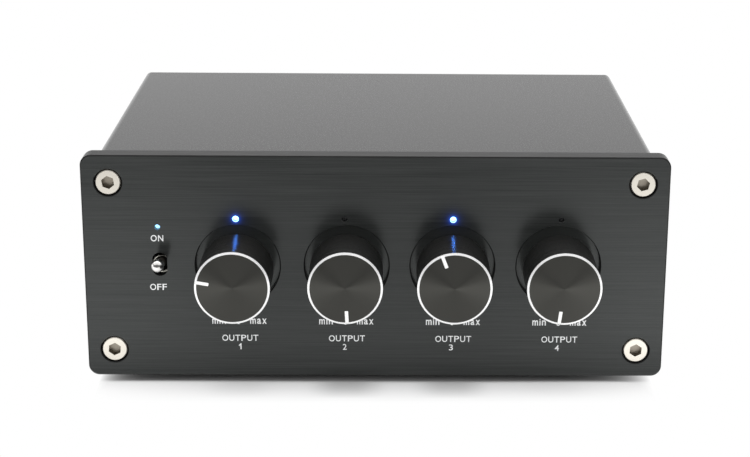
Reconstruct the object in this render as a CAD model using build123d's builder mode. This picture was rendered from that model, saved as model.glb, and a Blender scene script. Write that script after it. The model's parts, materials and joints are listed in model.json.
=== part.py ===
from build123d import *
import os
from math import cos, radians, sin

os.makedirs("parts", exist_ok=True)

# A desk-top audio level box: thick front panel, split case, four level knobs and a power toggle.
# Millimetres. X is to the right seen from the front, Y is depth (the front faces -Y), Z is up.
# The origin is on the surface that the feet stand on, in the middle of the outer box.

# Front panel
panel_width = 164.0
panel_height = 65.0
panel_thick = 5.5
panel_corner = 3.0
panel_edge = 0.35           # chamfer round the front face
panel_overhang_side = 3.25  # the panel stands out past the case at each side
panel_overhang_top = 2.0    # and above and below it

# Case
shell_length = 110.0
shell_wall = 2.0
shell_corner = 2.0
shell_inner_corner = 1.0
lap_height = 1.6            # tongue and rebate along the seam between the two shells
lap_clearance = 0.1
seam_groove = 0.25          # fine V groove that shows along the seam
rear_panel_thick = 2.0
foot_height = 4.0
foot_radius = 6.0
foot_taper = 0.8
foot_inset = 14.0

# Case screws, M4
screw_radius = 2.0
screw_inset_side = 7.55     # from the panel's edge to the screw's axis
screw_inset_top = 7.85
screw_hole_clearance = 0.15
thread_clearance = 0.05
channel_radius = 3.9        # screw channels in the corners of the case
front_head_radius = 3.6     # knurled head
front_head_height = 4.0
front_head_edge = 0.3
front_screw_length = 12.0
counterbore_clearance = 0.3
counterbore_edge = 0.2
head_sink = 0.15            # the head's face lies this far below the panel's face
front_socket_flats = 3.3    # across flats of the hexagon socket
front_socket_turns = (39.0, 16.0, 25.0, 26.0)  # degrees, as the four screws stand
front_socket_depth = 2.0
rear_head_radius = 3.8
rear_head_height = 2.2
rear_head_edge = 1.2
rear_screw_length = 10.0
rear_socket_flats = 2.5
rear_socket_depth = 1.3

# Level controls
control_shares = (-0.4746, -0.101, 0.2624, 0.6271)  # of the panel's half width, from its middle
control_rise = 0.65         # axis above the panel's middle
pointer_angles = (99.6, -3.0, 159.4, 7.5)  # degrees clockwise from six o'clock, as they stand
recess_radius = 11.85
recess_depth = 2.0
recess_edge = 0.3
knob_radius = 10.25
knob_length = 17.0
knob_gap = 3.0              # from the panel's face to the knob's rear
knob_edge_width = 0.57      # bright cut round the knob's front
knob_edge_depth = 0.32
knob_rear_edge = 0.4
knob_relief_radius = 7.0
knob_relief_depth = 1.0
knob_bore_depth = 12.5
knob_bore_clearance = 0.05
pointer_width = 0.95
pointer_length = 3.85
pointer_depth = 0.25
grub_radius = 1.5
grub_from_rear = 4.5
grub_sink = 0.8             # below the knob's side
grub_socket_flats = 1.5
grub_socket_depth = 1.6

# Potentiometers
shaft_radius = 3.0
shaft_flat = 0.8            # depth of the flat under the grub screw
shaft_end_gap = 0.5
shaft_clearance = 0.05      # running fit in the bushing
bushing_wall = 0.5
bushing_length = 7.0
bushing_hole_clearance = 0.15
pot_width = 17.0            # also twice the height above the axis
pot_axis_height = 12.5      # axis above the main board
pot_depth = 22.0
pot_wall = 1.5
rotor_clearance = 0.6
rotor_thick = 2.5
nut_flats = 10.0
nut_thick = 2.0
washer_radius = 6.0
washer_thick = 0.5

# Lamps
lamp_shares = (-0.4789, -0.1083, 0.2629, 0.633)  # of the panel's half width, from its middle
lamp_rise = 13.65           # channel lamps above the control axis
power_lamp_gap = 1.6        # power lamp above the switch's bracket
power_lamp_shift = -0.85    # and to the side of its axis
lamp_hole_radius = 0.8
lamp_clearance = 0.05
lamp_sink = 1.2             # lens below the panel's face
lamp_lens_round = 0.5
lamp_body_radius = 1.5
lamp_body_length = 3.4
lamp_lip = 2.0              # panel left in front of the lamp's body
lead_radius = 0.25
lead_spread = 1.27

# Power switch
switch_share = -0.7356      # of the panel's half width, from its middle
slot_width = 4.2
slot_height = 6.9
slot_shift = -0.45          # slot's middle from the switch's axis, to the right
slot_rise = 0.25            # and up
slot_lip = 1.5              # panel left in front of the switch's bushing
pivot_from_bushing = 4.0    # lever's pivot behind the bushing's front
lever_reach = 14.6          # pivot to the middle of the tip
lever_tilt = 10.4           # degrees up from straight out, as it stands
lever_tip_radius = 1.8
lever_neck_radius = 0.95
lever_ball_clearance = 0.15
lever_tail_length = 7.0
lever_tail_radius = 0.8
toggle_pin_radius = 0.5
toggle_pin_clearance = 0.05
toggle_bushing_radius = 2.5
toggle_bushing_bore = 2.1
toggle_pocket_clearance = 0.3
toggle_body_width = 7.9
toggle_body_height = 13.2
toggle_body_depth = 9.6
toggle_body_wall = 1.4
terminal_pitch = 4.7
terminal_width = 2.0
terminal_thick = 0.8
terminal_length = 4.0
toggle_nut_flats = 8.0
toggle_nut_thick = 2.0
toggle_nut_gap = 1.3        # panel to nut
bracket_thick = 1.2
bracket_width = 9.0
bracket_nut_room = 0.4      # round the nut, inside the bracket
bracket_head_room = 0.15    # round the screw heads, on the flanges
small_screw_radius = 1.0
small_head_radius = 1.8
small_head_height = 1.4
small_screw_grip = 3.0      # thread in the panel

# Lamp strip
strip_thick = 1.6
strip_gap = 3.0             # panel to strip, the spacers' length
strip_below = 1.0           # below the power lamp
strip_above = 4.5           # above the channel lamps
strip_end = 5.0
spacer_radius = 2.4

# Main board
board_thick = 1.6
board_side_gap = 0.2
board_end_gap = 0.4
rail_depth = 2.0
rail_thick = 1.2
rail_clearance = 0.1

# Rear sockets
jack_reach = 9.5            # sockets stand out of the rear panel
jack_shares = (-0.488, -0.171, 0.0975, 0.366, 0.634)  # input, then outputs, of the half width
inlet_share = -0.7317
jack_stack = 14.0           # lower to upper socket
jack_low = 8.0              # lower socket above the main board
jack_top = 5.0              # housing above the upper socket
jack_housing_width = 11.0
jack_housing_depth = 12.0
jack_radius = 4.15
jack_collar = 0.2           # thicker where the socket goes through the panel
jack_hole_clearance = 0.2
jack_wall = 0.6
jack_lip_edge = 0.3
insert_clearance = 0.05
insert_sink = 0.5
insert_bore_radius = 1.65
insert_bore_depth = 8.8
contact_radius = 2.0
contact_clearance = 0.05
inlet_width = 9.0
inlet_depth = 14.0
inlet_axis_height = 6.5
inlet_above = 4.5           # axis to the top of the inlet
inlet_nose_radius = 4.2
inlet_nose_out = 0.4
inlet_bore_radius = 2.9
inlet_bore_depth = 9.5
inlet_pin_radius = 1.05
inlet_pin_short = 1.0

# Circuit parts, placed as shares of the free board between the controls and the rear sockets
op_amp_size = (9.4, 6.4, 3.4)
op_amp_share = 0.30
cap_radius = 4.0
cap_height = 11.0
cap_groove = 0.35
cap_groove_height = 2.0
cap_spread = 6.0
cap_share = 0.58
film_size = (2.6, 7.2, 6.5)
film_spread = 4.0
film_share = 0.84
regulator_size = (10.0, 4.5, 15.0)
heatsink_size = (17.0, 10.0, 20.0)
heatsink_fin_gap = 1.6
heatsink_web = 2.0
heatsink_fins = 5
regulator_share = 0.62
header_width = 13.0
header_depth = 6.0
header_height = 5.0
ribbon_width = 10.2
ribbon_thick = 0.9
ribbon_share = 0.08
wire_radius = 0.65
wire_run = 9.0
bend_share = 0.45           # of the shorter run that a bend takes up

cut_over = 1.0              # overrun of cuts

# Main planes and axes that follow from these sizes
body_width = panel_width - 2 * panel_overhang_side
body_height = panel_height - 2 * panel_overhang_top
inner_width = body_width - 2 * shell_wall
inner_height = body_height - 2 * shell_wall
depth = knob_gap + knob_length + panel_thick + shell_length + rear_panel_thick + jack_reach
panel_front = knob_gap + knob_length - depth / 2
panel_rear = panel_front + panel_thick
shell_rear = panel_rear + shell_length
case_rear = shell_rear + rear_panel_thick
jack_end = case_rear + jack_reach
case_bottom = foot_height
case_middle = case_bottom + body_height / 2
control_z = case_middle + control_rise
control_xs = [share * panel_width / 2 for share in control_shares]
control_places = [(x, control_z) for x in control_xs]
lamp_xs = [share * panel_width / 2 for share in lamp_shares]
switch_x = switch_share * panel_width / 2
board_top = control_z - pot_axis_height
strip_front = panel_rear + strip_gap
strip_rear = strip_front + strip_thick
bracket_half = toggle_nut_flats / 2 + bracket_nut_room
bracket_outer = bracket_half + bracket_thick
bracket_screw_rise = bracket_outer + bracket_head_room + small_head_radius
flange_outer = bracket_screw_rise + small_head_radius + bracket_head_room
lamp_z = control_z + lamp_rise
power_lamp_z = control_z + flange_outer + power_lamp_gap
screw_x = panel_width / 2 - screw_inset_side
screw_rise = panel_height / 2 - screw_inset_top
screw_places = [(x, case_middle + z) for z in (screw_rise, -screw_rise) for x in (-screw_x, screw_x)]
jack_xs = [share * panel_width / 2 for share in jack_shares]
inlet_x = inlet_share * panel_width / 2
low_jacks = [(x, board_top + jack_low) for x in jack_xs]
high_jacks = [(x, z + jack_stack) for x, z in low_jacks]
inlet_z = board_top + inlet_axis_height
pot_rear = panel_rear + pot_depth
free_board = shell_rear - jack_housing_depth - pot_rear


def facing(y):
    """A plane at depth y that faces the front, with local x to the right and local y up."""
    return Plane(origin=(0, y, 0), x_dir=(1, 0, 0), z_dir=(0, -1, 0))


def control_plane(x, y, angle):
    """A front-facing plane on a control's axis, turned so that its local -y is the pointer."""
    turn = radians(angle)
    return Plane(origin=(x, y, control_z), x_dir=(cos(turn), 0, -sin(turn)), z_dir=(0, -1, 0))


def across_flats(flats):
    """The corner radius of a hexagon of that width across its flats."""
    return flats / 2 / cos(radians(30))


# Front panel
counterbore_radius = front_head_radius + counterbore_clearance
head_seat = panel_front + head_sink + front_head_height
pocket_radius = toggle_bushing_radius + toggle_pocket_clearance
bushing_radius = shaft_radius + bushing_wall
bracket_places = [(switch_x, control_z + z) for z in (bracket_screw_rise, -bracket_screw_rise)]
strip_screw_places = [((left + right) / 2, lamp_z) for left, right in zip(control_xs, control_xs[1:])]
lamp_places = [(x, lamp_z) for x in lamp_xs] + [(switch_x + power_lamp_shift, power_lamp_z)]
small_hole_radius = small_screw_radius + thread_clearance

with BuildPart() as front_panel:
    with BuildSketch(facing(panel_rear)):
        with Locations((0, case_middle)):
            RectangleRounded(panel_width, panel_height, panel_corner)
    extrude(amount=panel_thick)
    chamfer(front_panel.faces().sort_by(Axis.Y)[0].outer_wire().edges(), panel_edge)
    with BuildSketch(facing(head_seat)):
        with Locations(*screw_places):
            Circle(counterbore_radius)
    extrude(amount=head_seat - panel_front, mode=Mode.SUBTRACT)
    front_edges = front_panel.edges().group_by(Axis.Y)[0]
    chamfer(front_edges.filter_by(lambda edge: edge.is_closed), counterbore_edge)
    with BuildSketch(facing(panel_rear)):
        with Locations(*screw_places):
            Circle(screw_radius + screw_hole_clearance)
        with Locations(*control_places):
            Circle(bushing_radius + bushing_hole_clearance)
        with Locations(*lamp_places):
            Circle(lamp_hole_radius)
        with Locations((switch_x + slot_shift, control_z + slot_rise)):
            SlotOverall(slot_height, slot_width, rotation=90)
    extrude(amount=panel_thick, mode=Mode.SUBTRACT)
    with BuildSketch(facing(panel_front + recess_depth)):
        with Locations(*control_places):
            Circle(recess_radius)
    extrude(amount=recess_depth, mode=Mode.SUBTRACT)
    recess_rims = front_panel.edges().filter_by(GeomType.CIRCLE).group_by(SortBy.RADIUS)[-1]
    chamfer(recess_rims.group_by(Axis.Y)[0], recess_edge)
    with BuildSketch(facing(panel_rear)):
        with Locations(*lamp_places):
            Circle(lamp_body_radius + lamp_clearance)
    extrude(amount=panel_thick - lamp_lip, mode=Mode.SUBTRACT)
    with BuildSketch(facing(panel_rear)):
        with Locations((switch_x, control_z)):
            Circle(pocket_radius)
    extrude(amount=panel_thick - slot_lip, mode=Mode.SUBTRACT)
    with BuildSketch(facing(panel_rear)):
        with Locations(*bracket_places, *strip_screw_places):
            Circle(small_hole_radius)
    extrude(amount=small_screw_grip + thread_clearance, mode=Mode.SUBTRACT)
front_panel.part.label = "front_panel"
export_step(front_panel.part, "parts/front_panel.step")

# Upper shell, with the tongue of the seam on the inner half of its wall
tongue_width = body_width - shell_wall - lap_clearance

with BuildPart() as upper_shell:
    with BuildSketch(facing(shell_rear)):
        with Locations((0, case_middle)):
            RectangleRounded(body_width, body_height, shell_corner)
            RectangleRounded(inner_width, inner_height, shell_inner_corner, mode=Mode.SUBTRACT)
        with Locations(*screw_places[:2]):
            Circle(channel_radius)
        with Locations((0, case_middle)):
            RectangleRounded(body_width, body_height, shell_corner, mode=Mode.INTERSECT)
        with Locations(*screw_places[:2]):
            Circle(screw_radius + thread_clearance, mode=Mode.SUBTRACT)
        with Locations((0, case_middle - lap_height)):
            Rectangle(panel_width, body_height, align=(Align.CENTER, Align.MAX), mode=Mode.SUBTRACT)
        for side in (-1, 1):
            with Locations((side * tongue_width / 2, case_middle)):
                edge_align = Align.MIN if side > 0 else Align.MAX
                Rectangle(panel_width, lap_height, align=(edge_align, Align.MAX), mode=Mode.SUBTRACT)
            with Locations((side * body_width / 2, case_middle)):
                Rectangle(seam_groove, seam_groove, rotation=45, mode=Mode.SUBTRACT)
    extrude(amount=shell_length)
upper_shell.part.label = "upper_shell"
export_step(upper_shell.part, "parts/upper_shell.step")

# Lower shell, with the rebate of the seam and the rails that hold the main board
rebate_width = body_width - shell_wall + lap_clearance
rail_x = inner_width / 2 - rail_depth
rail_bottoms = (board_top + rail_clearance, board_top - board_thick - rail_thick)

with BuildPart() as lower_shell:
    with BuildSketch(facing(shell_rear)):
        with Locations((0, case_middle)):
            RectangleRounded(body_width, body_height, shell_corner)
            RectangleRounded(inner_width, inner_height, shell_inner_corner, mode=Mode.SUBTRACT)
        with Locations(*screw_places[2:]):
            Circle(channel_radius)
        for side in (-1, 1):
            for bottom in rail_bottoms:
                with Locations((side * rail_x, bottom)):
                    edge_align = Align.MIN if side > 0 else Align.MAX
                    Rectangle(rail_depth + shell_wall / 2, rail_thick, align=(edge_align, Align.MIN))
        with Locations((0, case_middle)):
            RectangleRounded(body_width, body_height, shell_corner, mode=Mode.INTERSECT)
        with Locations(*screw_places[2:]):
            Circle(screw_radius + thread_clearance, mode=Mode.SUBTRACT)
        with Locations((0, case_middle)):
            Rectangle(panel_width, body_height, align=(Align.CENTER, Align.MIN), mode=Mode.SUBTRACT)
        with Locations((0, case_middle - lap_height - lap_clearance)):
            Rectangle(rebate_width, body_height, align=(Align.CENTER, Align.MIN), mode=Mode.SUBTRACT)
        for side in (-1, 1):
            with Locations((side * body_width / 2, case_middle)):
                Rectangle(seam_groove, seam_groove, rotation=45, mode=Mode.SUBTRACT)
    extrude(amount=shell_length)
lower_shell.part.label = "lower_shell"
export_step(lower_shell.part, "parts/lower_shell.step")

# Rear panel
jack_hole_radius = jack_radius + jack_collar + jack_hole_clearance

with BuildPart() as rear_panel:
    with BuildSketch(facing(case_rear)):
        with Locations((0, case_middle)):
            RectangleRounded(body_width, body_height, shell_corner)
        with Locations(*screw_places):
            Circle(screw_radius + screw_hole_clearance, mode=Mode.SUBTRACT)
        with Locations(*low_jacks, *high_jacks):
            Circle(jack_hole_radius, mode=Mode.SUBTRACT)
        with Locations((inlet_x, inlet_z)):
            Circle(inlet_nose_radius + jack_hole_clearance, mode=Mode.SUBTRACT)
    extrude(amount=rear_panel_thick)
rear_panel.part.label = "rear_panel"
export_step(rear_panel.part, "parts/rear_panel.step")

# Front screws, socket cap, with their heads in the panel's counterbores
with BuildPart() as front_screws:
    with BuildSketch(facing(head_seat)):
        with Locations(*screw_places):
            Circle(front_head_radius)
    extrude(amount=front_head_height)
    chamfer(front_screws.faces().group_by(Axis.Y)[0].edges(), front_head_edge)
    with BuildSketch(facing(head_seat + front_screw_length)):
        with Locations(*screw_places):
            Circle(screw_radius)
    extrude(amount=front_screw_length)
    with BuildSketch(facing(head_seat - front_head_height + front_socket_depth)):
        for place, turn in zip(screw_places, front_socket_turns):
            with Locations(place):
                RegularPolygon(across_flats(front_socket_flats), 6, rotation=turn)
    extrude(amount=front_socket_depth, mode=Mode.SUBTRACT)
front_screws.part.label = "front_screws"
export_step(front_screws.part, "parts/front_screws.step")

# Rear screws, button head
with BuildPart() as rear_screws:
    with BuildSketch(facing(case_rear + rear_head_height)):
        with Locations(*screw_places):
            Circle(rear_head_radius)
    extrude(amount=rear_head_height)
    fillet(rear_screws.faces().group_by(Axis.Y)[-1].edges(), rear_head_edge)
    with BuildSketch(facing(case_rear)):
        with Locations(*screw_places):
            Circle(screw_radius)
    extrude(amount=rear_screw_length)
    with BuildSketch(facing(case_rear + rear_head_height)):
        with Locations(*screw_places):
            RegularPolygon(across_flats(rear_socket_flats), 6)
    extrude(amount=rear_socket_depth, mode=Mode.SUBTRACT)
rear_screws.part.label = "rear_screws"
export_step(rear_screws.part, "parts/rear_screws.step")

# Rubber feet, stuck under the lower shell
foot_x = body_width / 2 - foot_inset
foot_ys = (panel_rear + foot_inset, shell_rear - foot_inset)

with BuildPart() as rubber_feet:
    for x in (-foot_x, foot_x):
        for y in foot_ys:
            with BuildSketch(Plane.XY):
                with Locations((x, y)):
                    Circle(foot_radius - foot_taper)
            with BuildSketch(Plane.XY.offset(foot_height)):
                with Locations((x, y)):
                    Circle(foot_radius)
            loft()
rubber_feet.part.label = "rubber_feet"
export_step(rubber_feet.part, "parts/rubber_feet.step")

# Knobs, with their grub screws and shafts
knob_rear = panel_front - knob_gap
knob_front = knob_rear - knob_length
knob_bore_radius = shaft_radius + knob_bore_clearance
grub_hole_radius = grub_radius + thread_clearance
grub_y = knob_rear - grub_from_rear
shaft_front = knob_rear - knob_bore_depth + shaft_end_gap
flat_x = shaft_radius - shaft_flat
grub_length = knob_radius - grub_sink - flat_x
rotor_front = panel_rear + pot_wall + rotor_clearance
rotor_radius = pot_width / 2 - pot_wall - rotor_clearance

for number, (control_x, angle) in enumerate(zip(control_xs, pointer_angles), start=1):
    turn = radians(angle)
    grub_axis = (cos(turn), 0, -sin(turn))
    grub_seat = (control_x + flat_x * cos(turn), grub_y, control_z - flat_x * sin(turn))
    grub_plane = Plane(origin=grub_seat, x_dir=(0, 1, 0), z_dir=grub_axis)

    with BuildPart() as knob:
        with BuildSketch(control_plane(control_x, knob_rear, angle)):
            Circle(knob_radius)
        extrude(amount=knob_length)
        front_face = knob.faces().sort_by(Axis.Y)[0]
        chamfer(front_face.edges(), knob_edge_width, knob_edge_depth, reference=front_face)
        chamfer(knob.edges().sort_by(Axis.Y)[-1], knob_rear_edge)
        with BuildSketch(control_plane(control_x, knob_rear, angle)):
            Circle(knob_relief_radius)
        extrude(amount=knob_relief_depth, mode=Mode.SUBTRACT)
        with BuildSketch(control_plane(control_x, knob_rear, angle)):
            Circle(knob_bore_radius)
        extrude(amount=knob_bore_depth, mode=Mode.SUBTRACT)
        with BuildSketch(control_plane(control_x, knob_front + pointer_depth, angle)):
            with Locations((0, pointer_length - knob_radius)):
                Rectangle(pointer_width, pointer_length + cut_over, align=(Align.CENTER, Align.MAX))
        extrude(amount=pointer_depth, mode=Mode.SUBTRACT)
        with BuildSketch(grub_plane):
            Circle(grub_hole_radius)
        extrude(amount=knob_radius, mode=Mode.SUBTRACT)
    knob.part.label = f"knob_{number}"
    export_step(knob.part, f"parts/knob_{number}.step")

    with BuildPart() as grub_screw:
        with BuildSketch(grub_plane):
            Circle(grub_radius)
        extrude(amount=grub_length)
        with BuildSketch(grub_plane.offset(grub_length)):
            RegularPolygon(across_flats(grub_socket_flats), 6)
        extrude(amount=-grub_socket_depth, mode=Mode.SUBTRACT)
    grub_screw.part.label = f"grub_screw_{number}"
    export_step(grub_screw.part, f"parts/grub_screw_{number}.step")

    with BuildPart() as pot_shaft:
        with BuildSketch(control_plane(control_x, rotor_front, angle)):
            Circle(shaft_radius)
        extrude(amount=rotor_front - shaft_front)
        with BuildSketch(control_plane(control_x, knob_rear, angle)):
            with Locations((flat_x, 0)):
                Rectangle(shaft_radius, 2 * shaft_radius, align=(Align.MIN, Align.CENTER))
        extrude(amount=knob_bore_depth, mode=Mode.SUBTRACT)
        with BuildSketch(control_plane(control_x, rotor_front + rotor_thick, angle)):
            Circle(rotor_radius)
        extrude(amount=rotor_thick)
    pot_shaft.part.label = f"pot_shaft_{number}"
    export_step(pot_shaft.part, f"parts/pot_shaft_{number}.step")

    with BuildPart() as pot_housing:
        with BuildSketch(facing(pot_rear)):
            with Locations((control_x, board_top)):
                Rectangle(pot_width, pot_axis_height + pot_width / 2, align=(Align.CENTER, Align.MIN))
        extrude(amount=pot_depth)
        with BuildSketch(facing(panel_rear)):
            with Locations((control_x, control_z)):
                Circle(bushing_radius)
        extrude(amount=bushing_length)
        with BuildSketch(facing(pot_rear - pot_wall)):
            with Locations((control_x, control_z)):
                Circle(rotor_radius + rotor_clearance)
        extrude(amount=pot_depth - 2 * pot_wall, mode=Mode.SUBTRACT)
        with BuildSketch(facing(panel_rear + pot_wall)):
            with Locations((control_x, control_z)):
                Circle(shaft_radius + shaft_clearance)
        extrude(amount=pot_wall + bushing_length, mode=Mode.SUBTRACT)
    pot_housing.part.label = f"pot_housing_{number}"
    export_step(pot_housing.part, f"parts/pot_housing_{number}.step")

# Washers and nuts that clamp the potentiometers, in the panel's recesses
recess_floor = panel_front + recess_depth

with BuildPart() as pot_washers:
    with BuildSketch(facing(recess_floor)):
        with Locations(*control_places):
            Circle(washer_radius)
            Circle(bushing_radius + bushing_hole_clearance, mode=Mode.SUBTRACT)
    extrude(amount=washer_thick)
pot_washers.part.label = "pot_washers"
export_step(pot_washers.part, "parts/pot_washers.step")

with BuildPart() as pot_nuts:
    with BuildSketch(facing(recess_floor - washer_thick)):
        with Locations(*control_places):
            RegularPolygon(across_flats(nut_flats), 6)
            Circle(bushing_radius + thread_clearance, mode=Mode.SUBTRACT)
    extrude(amount=nut_thick)
pot_nuts.part.label = "pot_nuts"
export_step(pot_nuts.part, "parts/pot_nuts.step")

# Power switch: bushing with its mouth behind the slot
toggle_front = panel_front + slot_lip
toggle_body_front = panel_rear + toggle_nut_gap + toggle_nut_thick + bracket_thick
pivot_y = toggle_front + pivot_from_bushing
mouth_edge = (toggle_bushing_radius - toggle_bushing_bore) / 2

with BuildPart() as toggle_bushing:
    with BuildSketch(facing(toggle_body_front)):
        with Locations((switch_x, control_z)):
            Circle(toggle_bushing_radius)
            Circle(toggle_bushing_bore, mode=Mode.SUBTRACT)
    extrude(amount=toggle_body_front - toggle_front)
    chamfer(toggle_bushing.faces().sort_by(Axis.Y)[0].inner_wires().edges(), mouth_edge)
    with BuildSketch(Plane(origin=(switch_x, pivot_y, control_z), z_dir=(1, 0, 0))):
        Circle(toggle_pin_radius)
    extrude(amount=toggle_bushing_radius, both=True, mode=Mode.SUBTRACT)
toggle_bushing.part.label = "toggle_bushing"
export_step(toggle_bushing.part, "parts/toggle_bushing.step")

# Cross pin that the lever rocks on
pin_half = (toggle_bushing_radius + toggle_bushing_bore) / 2

with BuildPart() as toggle_pin:
    with BuildSketch(Plane(origin=(switch_x, pivot_y, control_z), z_dir=(1, 0, 0))):
        Circle(toggle_pin_radius)
    extrude(amount=pin_half, both=True)
toggle_pin.part.label = "toggle_pin"
export_step(toggle_pin.part, "parts/toggle_pin.step")

# Bat lever, turned about its own axis and tilted up
tilt = radians(lever_tilt)
lever_plane = Plane(
    origin=(switch_x, pivot_y, control_z),
    x_dir=(1, 0, 0),
    z_dir=(0, -sin(tilt), -cos(tilt)),
)
lever_axis = Axis((switch_x, pivot_y, control_z), (0, -cos(tilt), sin(tilt)))
lever_ball_radius = toggle_bushing_bore - lever_ball_clearance

with BuildPart() as toggle_lever:
    with BuildSketch(lever_plane):
        with BuildLine():
            Polyline(
                (0, lever_reach),
                (0, -lever_tail_length),
                (lever_tail_radius, -lever_tail_length),
                (lever_tail_radius, 0),
                (lever_neck_radius, lever_ball_radius),
                (lever_tip_radius, lever_reach),
                close=True,
            )
        make_face()
        with BuildLine():
            CenterArc((0, lever_reach), lever_tip_radius, 0, 90)
            Polyline((0, lever_reach + lever_tip_radius), (0, lever_reach), (lever_tip_radius, lever_reach))
        make_face()
        with BuildLine():
            CenterArc((0, 0), lever_ball_radius, -90, 180)
            Line((0, -lever_ball_radius), (0, lever_ball_radius))
        make_face()
    revolve(axis=lever_axis)
    with BuildSketch(Plane(origin=(switch_x, pivot_y, control_z), z_dir=(1, 0, 0))):
        Circle(toggle_pin_radius + toggle_pin_clearance)
    extrude(amount=lever_ball_radius, both=True, mode=Mode.SUBTRACT)
toggle_lever.part.label = "toggle_lever"
export_step(toggle_lever.part, "parts/toggle_lever.step")

# Switch body, hollow where the lever's tail swings
toggle_body_rear = toggle_body_front + toggle_body_depth

with BuildPart() as toggle_body:
    with BuildSketch(facing(toggle_body_rear)):
        with Locations((switch_x, control_z)):
            Rectangle(toggle_body_width, toggle_body_height)
    extrude(amount=toggle_body_depth)
    with BuildSketch(facing(toggle_body_rear - toggle_body_wall)):
        with Locations((switch_x, control_z)):
            Rectangle(toggle_body_width - 2 * toggle_body_wall, toggle_body_height - 2 * toggle_body_wall)
    extrude(amount=toggle_body_depth - 2 * toggle_body_wall, mode=Mode.SUBTRACT)
    with BuildSketch(facing(toggle_body_front + toggle_body_wall)):
        with Locations((switch_x, control_z)):
            Circle(toggle_bushing_bore)
    extrude(amount=toggle_body_wall, mode=Mode.SUBTRACT)
toggle_body.part.label = "toggle_body"
export_step(toggle_body.part, "parts/toggle_body.step")

with BuildPart() as toggle_terminals:
    with BuildSketch(facing(toggle_body_rear + terminal_length)):
        with Locations(*[(switch_x, control_z + terminal_pitch * step) for step in (-1, 0, 1)]):
            Rectangle(terminal_width, terminal_thick)
    extrude(amount=terminal_length)
toggle_terminals.part.label = "toggle_terminals"
export_step(toggle_terminals.part, "parts/toggle_terminals.step")

# Hat bracket that holds the switch behind the panel, with its nut and screws
bracket_rear = toggle_body_front
bracket_foot = panel_rear + bracket_thick

with BuildPart() as toggle_bracket:
    with BuildSketch(Plane(origin=(switch_x, 0, control_z), x_dir=(0, 1, 0), z_dir=(1, 0, 0))):
        with BuildLine():
            Polyline(
                (bracket_rear, bracket_outer),
                (bracket_foot, bracket_outer),
                (bracket_foot, flange_outer),
                (panel_rear, flange_outer),
                (panel_rear, bracket_half),
                (bracket_rear - bracket_thick, bracket_half),
                (bracket_rear - bracket_thick, -bracket_half),
                (panel_rear, -bracket_half),
                (panel_rear, -flange_outer),
                (bracket_foot, -flange_outer),
                (bracket_foot, -bracket_outer),
                (bracket_rear, -bracket_outer),
                close=True,
            )
        make_face()
    extrude(amount=bracket_width / 2, both=True)
    with BuildSketch(facing(bracket_rear)):
        with Locations((switch_x, control_z)):
            Circle(toggle_bushing_radius + thread_clearance)
        with Locations(*bracket_places):
            Circle(small_hole_radius)
    extrude(amount=bracket_rear - panel_rear, mode=Mode.SUBTRACT)
toggle_bracket.part.label = "toggle_bracket"
export_step(toggle_bracket.part, "parts/toggle_bracket.step")

with BuildPart() as toggle_nut:
    with BuildSketch(facing(bracket_rear - bracket_thick)):
        with Locations((switch_x, control_z)):
            RegularPolygon(across_flats(toggle_nut_flats), 6)
            Circle(toggle_bushing_radius + thread_clearance, mode=Mode.SUBTRACT)
    extrude(amount=toggle_nut_thick)
toggle_nut.part.label = "toggle_nut"
export_step(toggle_nut.part, "parts/toggle_nut.step")

with BuildPart() as bracket_screws:
    with BuildSketch(facing(bracket_foot)):
        with Locations(*bracket_places):
            Circle(small_screw_radius)
    extrude(amount=bracket_thick + small_screw_grip)
    with BuildSketch(facing(bracket_foot + small_head_height)):
        with Locations(*bracket_places):
            Circle(small_head_radius)
    extrude(amount=small_head_height)
bracket_screws.part.label = "bracket_screws"
export_step(bracket_screws.part, "parts/bracket_screws.step")

# Lamps: lens in the panel's hole, body in the counterbore behind it, leads to the strip
lamp_seat = panel_front + lamp_lip
lamp_rear = lamp_seat + lamp_body_length
lens_radius = lamp_hole_radius - lamp_clearance
lamp_names = [f"led_{number}" for number in range(1, 5)] + ["power_led"]

for lamp_name, (lamp_x, this_z) in zip(lamp_names, lamp_places):
    with BuildPart() as lamp:
        with BuildSketch(facing(lamp_seat)):
            with Locations((lamp_x, this_z)):
                Circle(lens_radius)
        extrude(amount=lamp_lip - lamp_sink)
        fillet(lamp.faces().sort_by(Axis.Y)[0].edges(), lamp_lens_round)
        with BuildSketch(facing(lamp_rear)):
            with Locations((lamp_x, this_z)):
                Circle(lamp_body_radius)
        extrude(amount=lamp_body_length)
        with BuildSketch(facing(strip_front)):
            with Locations((lamp_x - lead_spread, this_z), (lamp_x + lead_spread, this_z)):
                Circle(lead_radius)
        extrude(amount=strip_front - lamp_rear)
    lamp.part.label = lamp_name
    export_step(lamp.part, f"parts/{lamp_name}.step")

# Lamp strip behind the panel, on spacers
strip_left = switch_x - strip_end
strip_right = lamp_xs[3] + strip_end
strip_bottom = power_lamp_z - strip_below
strip_top = lamp_z + strip_above

with BuildPart() as indicator_board:
    with BuildSketch(facing(strip_rear)):
        with Locations(((strip_left + strip_right) / 2, strip_bottom)):
            Rectangle(strip_right - strip_left, strip_top - strip_bottom, align=(Align.CENTER, Align.MIN))
        with Locations(*strip_screw_places):
            Circle(small_hole_radius, mode=Mode.SUBTRACT)
    extrude(amount=strip_thick)
indicator_board.part.label = "indicator_board"
export_step(indicator_board.part, "parts/indicator_board.step")

with BuildPart() as indicator_spacers:
    with BuildSketch(facing(strip_front)):
        with Locations(*strip_screw_places):
            Circle(spacer_radius)
            Circle(small_hole_radius, mode=Mode.SUBTRACT)
    extrude(amount=strip_gap)
indicator_spacers.part.label = "indicator_spacers"
export_step(indicator_spacers.part, "parts/indicator_spacers.step")

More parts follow.
